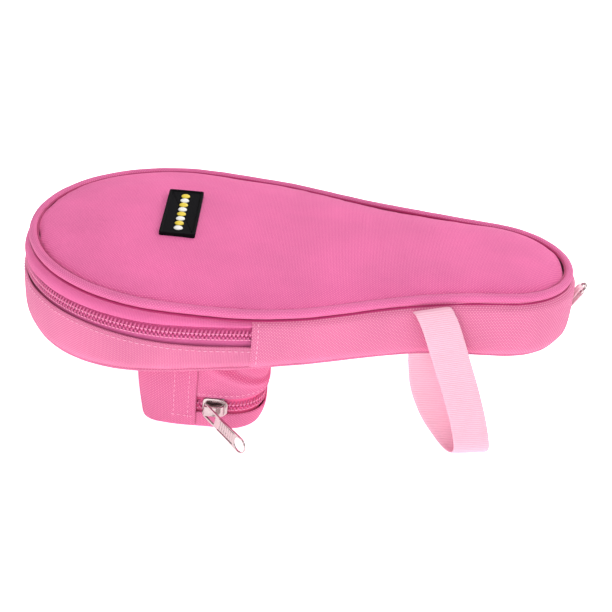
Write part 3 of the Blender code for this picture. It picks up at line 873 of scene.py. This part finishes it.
def pouchShift(s, point, height):
    # slack cloth: a bulge at mid height, drawn in towards the base at the closed end
    t = min(max((height - pouch["base"]) / (pouch["top"] - pouch["base"]), 0.0), 1.0)
    closed = smoothStep((0.0117 - point.x) / 0.02)
    shift = pouchValues["bulge"] * math.sin(math.pi * t) ** 0.8
    shift -= pouchValues["taper"] * closed * (1.0 - t) ** 2
    shift -= pouchValues["tuck"] * (1.0 - closed) * max(0.0, 1.0 - 4.2 * t) ** 2
    return shift + pouchValues["slack"] * waveRound(s, 3.0, height * 45.0)


def creaseShift(s, point, height):
    # folds that fan out from the upper corner of the opening end
    reach = smoothStep((point.x - 0.012) / 0.010)
    lift = smoothStep((height - pouch["band"]) / 0.008) * smoothStep((0.047 - height) / 0.006)
    fan = math.atan2(height - 0.016, 0.062 - point.x)
    fold = math.sin(fan * 17.0 + 0.8) * 0.6 + math.sin(fan * 31.0) * 0.4
    return pouchShift(s, point, height) + pouchValues["crease"] * reach * lift * fold


def layPouchWall(name, run, low, high, grid, node, body, shiftAt, proud=0.0):
    return layWall(name, pouchCloth, pouchEdge, run, lambda p: low, lambda p: high, grid, node,
        body, shiftAt, proud, high - low)


layPouchWall("pouchGusset", widen(plainRun, 0.001), pouchValues["gussetLow"], pouch["top"],
    (120, 18), "pouch_gusset", "case", pouchShift, pouchValues["proud"])
layPouchWall("pouchBand", pouchRun, pouch["band"], pouch["top"], (180, 18), "pouch_band", "case",
    creaseShift)
layPouchWall("pouchStrip", pouchRun, pouchValues["stripLow"], pouch["strip"], (130, 6),
    "pouch_strip", "pouch_flap", pouchShift)


def pouchTapeShift(s, point, height):
    return pouchShift(s, point, pouch["zipHeight"]) * 0.3 - pouchValues["tapeDepth"]


# the pouch zip's tape is the lighter copy, painted light in the recess
for word, side, end, body in (("Lower", -1, pouch["strip"] - 0.001, "pouch_flap"),
        ("Upper", 1, pouch["band"] + 0.001, "case")):
    layZip("pouch" + word, "pouch_" + word.lower(), pouchEdge, pouchRun, pouch["zipHeight"], end,
        pouchTapeShift, side, zipValues["pouchReach"], litPouchTapeCloth, 130, body)

pouchLining = thicken(layBand(pouchEdge, (0.0, 1.0), lambda s, t, p: (-pouchValues["liningIn"],
    pouchValues["liningLow"] + (pouch["top"] - pouchValues["liningLow"]) * t),
    120, 2, 0.034, True), pouchValues["liningThick"], 0)
settle(pouchLining, "pouchLining", liningCloth, "case", ("pouch_lining",))


def pouchBase(a, b):
    # a soft closed slab with a rounded rim, inside the outline of the pouch
    under = b < 0.5
    t = 2.0 * b if under else 2.0 - 2.0 * b
    edge, outward = trackAt(pouchEdge, 1.0 - a)
    edge = edge + outward * (pouchShift(1.0 - a, edge, pouch["base"] + 0.003) - 0.0002)
    middleX, middleHalf = pouchValues["baseMiddle"]
    middle = Vector((middleX, max(-middleHalf, min(middleHalf, edge.y))))
    place = middle.lerp(edge, 1.0 - (1.0 - t) ** 1.5)
    level = pouchValues["baseUnder" if under else "baseOver"] + pouch["base"]
    rim = pouchValues["baseRims"][0 if under else 1]
    return Vector((place.x, place.y, level + rim * t ** 10))


pouchPanel = layGrid(130, 14, pouchBase, (1.0, 1.0))
closeSeams(pouchPanel, True, 0.0001)
puffUp(pouchPanel, pouchValues["voxel"], pouchValues["pressure"],
    lambda start: pouchValues["cap"])
for vert in pouchPanel.data.vertices:
    vert.co.z = max(vert.co.z, pouch["base"])
settle(pouchPanel, "pouchPanel", floorCloth, None, ("pouch_panel",), 180)
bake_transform(pouchPanel)

# sewing on the pouch: two upright rows by the seam, a hem over the zip and a short base hem
uprights = [place for x, side in ((0.0000, -1), (0.0078, -1), (0.0000, 1), (0.0078, 1))
    for place in rowUp(pouchEdge, trackFraction(pouchEdge, x, side),
    lambda p: stitchValues["pouchRise"], stitchValues["pouchCount"], stitchValues["pouchLift"],
    pouchShift)]
bandHem = pouch["band"] + stitchValues["bandRise"]
bandRow = rowAlong(pouchEdge, pouchRun, stitchValues["pouchPitch"], lambda s, p: (
    creaseShift(s, p, bandHem) + stitchValues["bandLift"], bandHem))
hemRun = (trackFraction(pouchEdge, 0.0110, -1), trackFraction(pouchEdge, -0.0020, -1))
hemRow = rowAlong(pouchEdge, hemRun, stitchValues["pouchPitch"], lambda s, p: (
    pouchShift(s, p, stitchValues["pouchHem"]) + stitchValues["pouchLift"],
    stitchValues["pouchHem"]))
for word, row, length in (("Upright", uprights, 0.00105), ("Band", bandRow, 0.001),
        ("Hem", hemRow, 0.001)):
    sewRow("pouch" + word + "Stitches", row, threadFinish, "case",
        (length, stitchValues["pouchWidth"]))
print("pouch made")


# the rubber label with a row of raised dots
labelValues = {"centre": (-0.0061, 0.0047), "size": (0.0193, 0.0564), "under": 0.0898,
    "face": 0.0927, "rim": 0.0006, "rimWidth": 0.0012, "rimSlope": 0.0003,
    "corner": 0.0013, "edge": 0.00022, "dots": 8, "dot": 0.0025, "dotFlat": 0.42,
    "spacing": 0.0059}


def platePiece(outline, thickness):
    # a flat outline made solid by an extrusion along local Z
    deselectAll()
    bpy.ops.mesh.primitive_circle_add(vertices=len(outline), fill_type="NGON")
    plate = bpy.context.object
    for vert, (x, y) in zip(plate.data.vertices, outline):
        vert.co = (x, y, 0.0)
    editAll()
    bpy.ops.mesh.extrude_region_move(TRANSFORM_OT_translate={"value": (0.0, 0.0, thickness)})
    bpy.ops.mesh.select_all(action="SELECT")
    bpy.ops.mesh.normals_make_consistent(inside=False)
    bpy.ops.object.mode_set(mode="OBJECT")
    return plate


def roundedLoop(halfX, halfY, radius):
    x, y = halfX - radius, halfY - radius
    return [point for signX, signY, first in ((1, 1, 0), (-1, 1, 90), (-1, -1, 180), (1, -1, 270))
        for point in arcPoints(signX * x, signY * y, radius, first, first + 90, 5)]


def softEdges(piece, width, segments=2, angle=35):
    bevel = piece.modifiers.new("edge", "BEVEL")
    bevel.width = width
    bevel.segments = segments
    bevel.limit_method = "ANGLE"
    bevel.angle_limit = math.radians(angle)
    applyAll(piece)
    return piece


labelOutline = roundedLoop(*(0.5 * size for size in labelValues["size"]), labelValues["corner"])
label = platePiece(labelOutline,
    labelValues["face"] + labelValues["rim"] - labelValues["under"])
pick(label)
bpy.context.tool_settings.mesh_select_mode = (False, False, True)
bpy.ops.object.mode_set(mode="EDIT")
bpy.ops.mesh.select_all(action="DESELECT")
bpy.ops.object.mode_set(mode="OBJECT")
for face in label.data.polygons:
    face.select = face.normal.z > 0.9
bpy.ops.object.mode_set(mode="EDIT")
bpy.ops.mesh.inset(thickness=labelValues["rimWidth"])
bpy.ops.mesh.inset(thickness=labelValues["rimSlope"], depth=-labelValues["rim"])
bpy.ops.object.mode_set(mode="OBJECT")
softEdges(label, labelValues["edge"])
label.data.transform(Matrix.Translation((*labelValues["centre"], labelValues["under"])))
settle(label, "label", labelRubber, "lid", ("label_patch",), 35)
for word, finish, first in (("White", dotWhite, 0), ("Yellow", dotYellow, 1)):
    dots = []
    for i in range(first, labelValues["dots"], 2):
        deselectAll()
        bpy.ops.mesh.primitive_uv_sphere_add(segments=20, ring_count=10,
            radius=labelValues["dot"])
        along = (i - 0.5 * (labelValues["dots"] - 1)) * labelValues["spacing"]
        dots.append(bpy.context.object)
        dots[-1].data.transform(Matrix.Translation((
            labelValues["centre"][0], labelValues["centre"][1] + along, labelValues["face"]))
            @ Matrix.Diagonal((1.0, 1.0, labelValues["dotFlat"], 1.0)))
    settle(joinPieces(dots[0], dots[1:]), "label" + word + "Dots", finish, "lid",
        (), 180)
print("label made")


# the zip sliders and their pull tabs; lengths along the zip, out of it and across
sliderValues = {"length": 0.0135, "width": 0.0114, "base": 0.0014, "arch": 0.0058,
    "clear": 0.0032, "bar": 0.0009, "lean": 4.5, "barX": -0.0056}
pullValues = {"length": 0.0350, "thick": 0.0011, "direction": (0.68, 0.70, -0.22),
    "legs": 0.0043, "eye": 0.0049, "hole": 0.0040, "ribs": 7, "rimAt": 0.0037,
    "rim": (0.0008, 0.0006), "rib": (0.0007, 0.0060, 0.0003), "edge": 0.00022}


def drill(piece, cutter):
    cutting = piece.modifiers.new("hole", "BOOLEAN")
    cutting.operation = "DIFFERENCE"
    cutting.object = cutter
    applyAll(piece)
    bpy.data.objects.remove(cutter, do_unlink=True)


def block(centre, size, width):
    # a rounded bar or rib
    deselectAll()
    bpy.ops.mesh.primitive_cube_add(size=1.0)
    piece = bpy.context.object
    piece.data.transform(Matrix.Translation(centre) @ Matrix.Diagonal((*size, 1.0)))
    return softEdges(piece, width, 3)


def sliderFrame(place, out):
    return (Matrix.Translation(place)
        @ Matrix((upward.cross(out), out, upward)).transposed().to_4x4())


def makeSlider(name, frameOf, body, node):
    nose, side = 0.5 * sliderValues["length"], 0.5 * sliderValues["width"]
    base, bar = sliderValues["base"], sliderValues["bar"]
    top, low = base + sliderValues["clear"] + bar, base - 0.0005
    # lays the plate flat on the chain
    flat = Matrix(((1, 0, 0, 0), (0, 0, 1, 0), (0, -1, 0, 0), (0, 0, 0, 1)))
    edge = [(-1.0, -0.66), (-0.92, -0.9), (-0.66, -1.0), (0.30, -1.0), (0.72, -0.86), (1.0, -0.5)]
    shield = [(x * nose, y * side) for x, y in edge + [(x, -y) for x, y in reversed(edge)]]
    plate = softEdges(platePiece(shield, base), 0.00045, 3)
    plate.data.transform(flat)
    parts = [block((-0.0004, -0.0006, k * (side - 0.0007)), (1.5 * nose, 0.0026, 0.0013),
        0.0004) for k in (-1, 1)]
    # side view of the bridge that the tab hangs from
    profile = [(-0.0060, low), (-0.0060 + bar, low), (-0.0056 + bar, top - bar - 0.0009),
        (-0.0047 + bar, top - bar), (0.0012, top - bar), (0.0032, top - bar - 0.0010),
        (0.0042, low), (0.0054, low), (0.0046, top - 0.0014), (0.0034, top - 0.0003),
        (0.0016, top), (-0.0048, top), (-0.0057, top - 0.0006)]
    arch = platePiece(profile, sliderValues["arch"])
    arch.data.transform(Matrix.Translation((0.0, 0.0, -0.5 * sliderValues["arch"])))
    parts.append(softEdges(arch, 0.00028, 3, 25))
    slider = joinPieces(plate, parts)
    slider.data.transform(frameOf)
    return settle(slider, name, nickel, body, (node,), 40)


def makePull(name, frameOf, body, node):
    down = Vector(pullValues["direction"]).normalized()
    axis = (upward - down * upward.dot(down)).normalized()
    turn = Matrix((down, axis, down.cross(axis))).transposed().to_4x4()
    bar = (sliderValues["barX"], sliderValues["base"] + 0.5 * sliderValues["clear"], 0.0)
    hang = frameOf @ Matrix.Translation(bar) @ turn
    legs, eye, thick = pullValues["legs"], pullValues["eye"], pullValues["thick"]
    centre = pullValues["length"] - eye
    outline = [(-0.0006, -legs + 0.0014), (0.0002, -legs + 0.0004), (0.0012, -legs),
        (0.0100, -legs), (0.0124, -0.0041), (0.0150, -0.0041), (centre - 0.0050, -0.0047)]
    outline += arcPoints(centre, 0.0, eye, -96, 96, 16)
    outline += [(x, -y) for x, y in reversed(outline[:7])]
    plate = platePiece(outline, thick)
    plate.data.transform(Matrix.Translation((0.0, 0.0, -0.5 * thick)))
    slot = block((0.0052, 0.0, 0.0), (0.0092, 0.0062, 0.004), 0.0008)
    drill(plate, slot)
    deselectAll()
    bpy.ops.mesh.primitive_cylinder_add(vertices=40, radius=pullValues["hole"], depth=0.004,
        location=(centre + 0.0001, 0.0, 0.0))
    hole = bpy.context.object
    bpy.ops.object.transform_apply(location=True)
    drill(plate, hole)
    softEdges(plate, pullValues["edge"])
    # raised rims along the tab and low ribs between them, on both faces
    parts = []
    start, end = 0.0128, centre - 0.0046
    for face in (-1, 1):
        for side in (-1, 1):
            parts.append(block((0.5 * (start + end), side * pullValues["rimAt"],
                face * 0.5 * thick), (end - start, *pullValues["rim"]),
                pullValues["edge"]))
        for i in range(pullValues["ribs"]):
            x = start + 0.0012 + (end - start - 0.0024) * i / (pullValues["ribs"] - 1)
            parts.append(block((x, 0.0, face * 0.5 * thick), pullValues["rib"], 0.00012))
    pull = joinPieces(plate, parts)
    pull.data.transform(hang)
    return settle(pull, name, nickel, body, (node,), 40)


pouchSliderFrame = sliderFrame(Vector((0.0222, -0.0645, pouch["zipHeight"])),
    Vector((0.0, -1.0, 0.0)))
lean = math.radians(sliderValues["lean"])
farOut = Vector((math.sin(lean), math.cos(lean), 0.0))
mainSliderFrame = sliderFrame(Vector((0.0140, 0.0868, shape["zipHeight"])) + farOut * 0.0013,
    farOut)
for word, frameOf in (("pouch", pouchSliderFrame), ("main", mainSliderFrame)):
    makeSlider(word + "Slider", frameOf, word + "_slider", word + "_slider")
    makePull(word + "Pull", frameOf, word + "_pull", word + "_pull")
print("sliders made")


# the hand strap, the ring and its tab
strapValues = {"width": 0.0202, "thick": 0.0013, "pitch": 0.00115, "rib": 0.00009,
    "edge": (0.9727, 0.2320, 0.1200), "edgeLow": (0.9727, 0.2320, -0.0200),
    "route": [(0.1308, -0.0565, 0.0780), (0.1325, -0.0592, 0.0774),
    (0.1372, -0.0612, 0.0690), (0.1455, -0.0631, 0.0490),
    (0.1515, -0.0648, 0.0345), (0.1575, -0.0672, 0.0180),
    (0.1610, -0.0692, 0.0050), (0.1606, -0.0672, -0.0006),
    (0.1568, -0.0622, -0.0018), (0.1508, -0.0582, 0.0030),
    (0.1424, -0.0556, 0.0140), (0.1355, -0.0538, 0.0290),
    (0.1326, -0.0528, 0.0430), (0.1318, -0.0525, 0.0500)]}


def layRoute(path, widthWay, halfWidth, halfThick, columns, sides, square, rib, closed=False):
    # a band or wire that follows a route; its section goes from round to nearly square
    count = len(path)
    lengths = [0.0]
    for i in range(count if closed else count - 1):
        lengths.append(lengths[-1] + (path[(i + 1) % count] - path[i]).length)

    def placeAt(a, b):
        want = min(a, 0.999999) * lengths[-1]
        i = max(k for k in range(len(lengths) - 1) if lengths[k] <= want)
        part = (want - lengths[i]) / (lengths[i + 1] - lengths[i])
        place = path[i].lerp(path[(i + 1) % count], part)
        ways = []
        for k in (i, i + 1):
            before = path[(k - 1) % count] if closed or k > 0 else path[0]
            after = path[(k + 1) % count] if closed or k < count - 1 else path[-1]
            ways.append((after - before).normalized())
        along = ways[0].lerp(ways[1], part).normalized()
        width = widthWay(a)
        if closed:
            width = (width - along * along.dot(width)).normalized()
        out = width.cross(along).normalized()
        angle = 2.0 * math.pi * b
        x, y = math.cos(angle), math.sin(angle)
        swell = rib * math.sin(2.0 * math.pi * want / strapValues["pitch"]) if rib else 0.0
        return (place + width * (math.copysign(abs(x) ** square, x) * halfWidth)
            + out * (math.copysign(abs(y) ** square, y) * (halfThick + swell)))
    band = layGrid(columns, sides, placeAt, (lengths[-1], 2.0 * halfWidth))
    closeSeams(band)
    if not closed:
        editAll()
        bpy.ops.mesh.region_to_loop()
        bpy.ops.mesh.edge_face_add()
        bpy.ops.object.mode_set(mode="OBJECT")
    return band


def strapWidth(a):
    # the webbing's edge is level where it turns at the bottom of the loop
    low = smoothStep((a - 0.16) / 0.40)
    return Vector(strapValues["edge"]).lerp(Vector(strapValues["edgeLow"]), low).normalized()


strap = layRoute(smoothRoute(strapValues["route"], 6), strapWidth, 0.5 * strapValues["width"],
    0.5 * strapValues["thick"], 560, 20, 0.45, strapValues["rib"])
settle(strap, "strap", webbingCloth, None, ("strap_anchor", "strap"), 60)
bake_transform(strap)

ringValues = {"pivot": (0.2186, 0.0, 0.0690), "way": (0.6, 0.0, 0.8), "half": 0.0036,
    "bow": 1.15, "wire": 0.0008, "tab": 0.0070, "tabThick": 0.0009, "tabLean": 250}
ringPivot, ringWay = Vector(ringValues["pivot"]), Vector(ringValues["way"])
across = Vector((0.0, 1.0, 0.0))
ringPath = [ringPivot + across * ringValues["half"] * k for k in (0.6, 0.3, 0.0, -0.3, -0.6)]
for i in range(25):
    angle = math.pi * i / 24
    ringPath.append(ringPivot + ringWay * ringValues["half"] * ringValues["bow"] * math.sin(angle)
        - across * ringValues["half"] * math.cos(angle))
ring = layRoute(ringPath, lambda a: ringWay.cross(across), ringValues["wire"],
    ringValues["wire"], 90, 12, 1.0, 0.0, True)
settle(ring, "dRing", nickel, "d_ring", ("d_ring",), 180)

wrap = ringValues["wire"] + 0.0003 + 0.5 * ringValues["tabThick"]
tabLean = math.radians(ringValues["tabLean"])
tabDown = Vector((math.cos(tabLean), 0.0, math.sin(tabLean)))
tabSide = Vector((-tabDown.z, 0.0, tabDown.x))
tabRoot = Vector((shape["tailX"] + shape["tailRadius"] + 0.0004, 0.0, 0.0575))
tabPath = [tabRoot + Vector((0.0010, 0.0, -0.0008)), tabRoot + Vector((0.0016, 0.0, 0.0010))]
for i in range(17):
    angle = math.pi * i / 16
    tabPath.append(ringPivot + tabSide * wrap * math.cos(angle)
        - tabDown * wrap * math.sin(angle))
tabPath += [tabRoot + Vector((0.0002, 0.0, 0.0032)), tabRoot + Vector((-0.0003, 0.0, 0.0010))]
ringTab = layRoute(tabPath, lambda a: across, 0.5 * ringValues["tab"],
    0.5 * ringValues["tabThick"], 80, 16, 0.5, 0.0)
settle(ringTab, "ringTab", tabCloth, "case", ("ring_tab",), 60)
print("strap and ring made")


# the floor, light and camera
deselectAll()
bpy.ops.mesh.primitive_plane_add(size=40.0, location=(0.0, 0.0, 0.0))
studioFloor = bpy.context.object
studioFloor.data.transform(Matrix.Translation((0.0, 0.0, pouch["base"] - 0.0003)))
studioFloor.name = "studioFloor"
# matt white paper, lit from behind like a light table
paper = mouldedFinish("floorPaper", {"Roughness": 0.9, "Specular IOR Level": 0.1,
    "Emission Color": (1, 1, 1, 1), "Emission Strength": 0.9},
    "#fefefe", "#fbfbfb", 0.4, 0.0001)
studioFloor.data.materials.append(paper)

world = bpy.data.worlds.new("softRoom")
bpy.context.scene.world = world
world.use_nodes = True
# the room is bright near the floor and dimmer overhead, which gives metal its contrast
sky = world.node_tree
lookUp = sky.nodes.new("ShaderNodeTexCoord")
heights = sky.nodes.new("ShaderNodeSeparateXYZ")
fade = sky.nodes.new("ShaderNodeMapRange")
sky.links.new(lookUp.outputs["Generated"], heights.inputs[0])
sky.links.new(heights.outputs["Z"], fade.inputs["Value"])
sky.links.new(fade.outputs[0], sky.nodes["Background"].inputs["Strength"])
for key, value in (("From Min", 0.05), ("From Max", 0.9), ("To Min", 0.55), ("To Max", 0.22)):
    fade.inputs[key].default_value = value
sky.nodes["Background"].inputs["Color"].default_value = (1.0, 1.0, 1.0, 1.0)
for name, place, size, power in (("frontSoftbox", (-0.35, -1.5, 0.75), 1.1, 10.0),
        ("topSoftbox", (0.15, 0.25, 1.6), 1.3, 15.0),
        ("backSoftbox", (0.75, 1.2, 0.7), 1.0, 9.0),
        ("sideSoftbox", (1.3, -0.4, 0.9), 0.8, 4.0)):
    deselectAll()
    bpy.ops.object.light_add(type="AREA", location=place)
    lamp = bpy.context.object
    lamp.name = name
    lamp.data.size = size
    lamp.data.energy = power
    aim = Vector((0.06, 0.0, 0.05)) - Vector(place)
    lamp.rotation_euler = aim.to_track_quat("-Z", "Y").to_euler()
bpy.context.scene.view_settings.view_transform = "Standard"

cameraValues = {"place": (0.05129, -0.70793, 0.42736), "target": (0.06683, 0.0, 0.04327),
    "roll": 5.59, "lens": 83.77}
back = (Vector(cameraValues["place"]) - Vector(cameraValues["target"])).normalized()
level = upward.cross(back).normalized()
rise = back.cross(level)
roll = math.radians(cameraValues["roll"])
right = level * math.cos(roll) + rise * math.sin(roll)
above = back.cross(right)
deselectAll()
bpy.ops.object.camera_add()
camera = bpy.context.object
camera.matrix_world = (Matrix.Translation(cameraValues["place"])
    @ Matrix((right, above, back)).transposed().to_4x4())
camera.data.lens = cameraValues["lens"]
camera.data.sensor_width = 36.0
camera.data.clip_start = 0.01
bpy.context.scene.camera = camera
print("light and camera set")
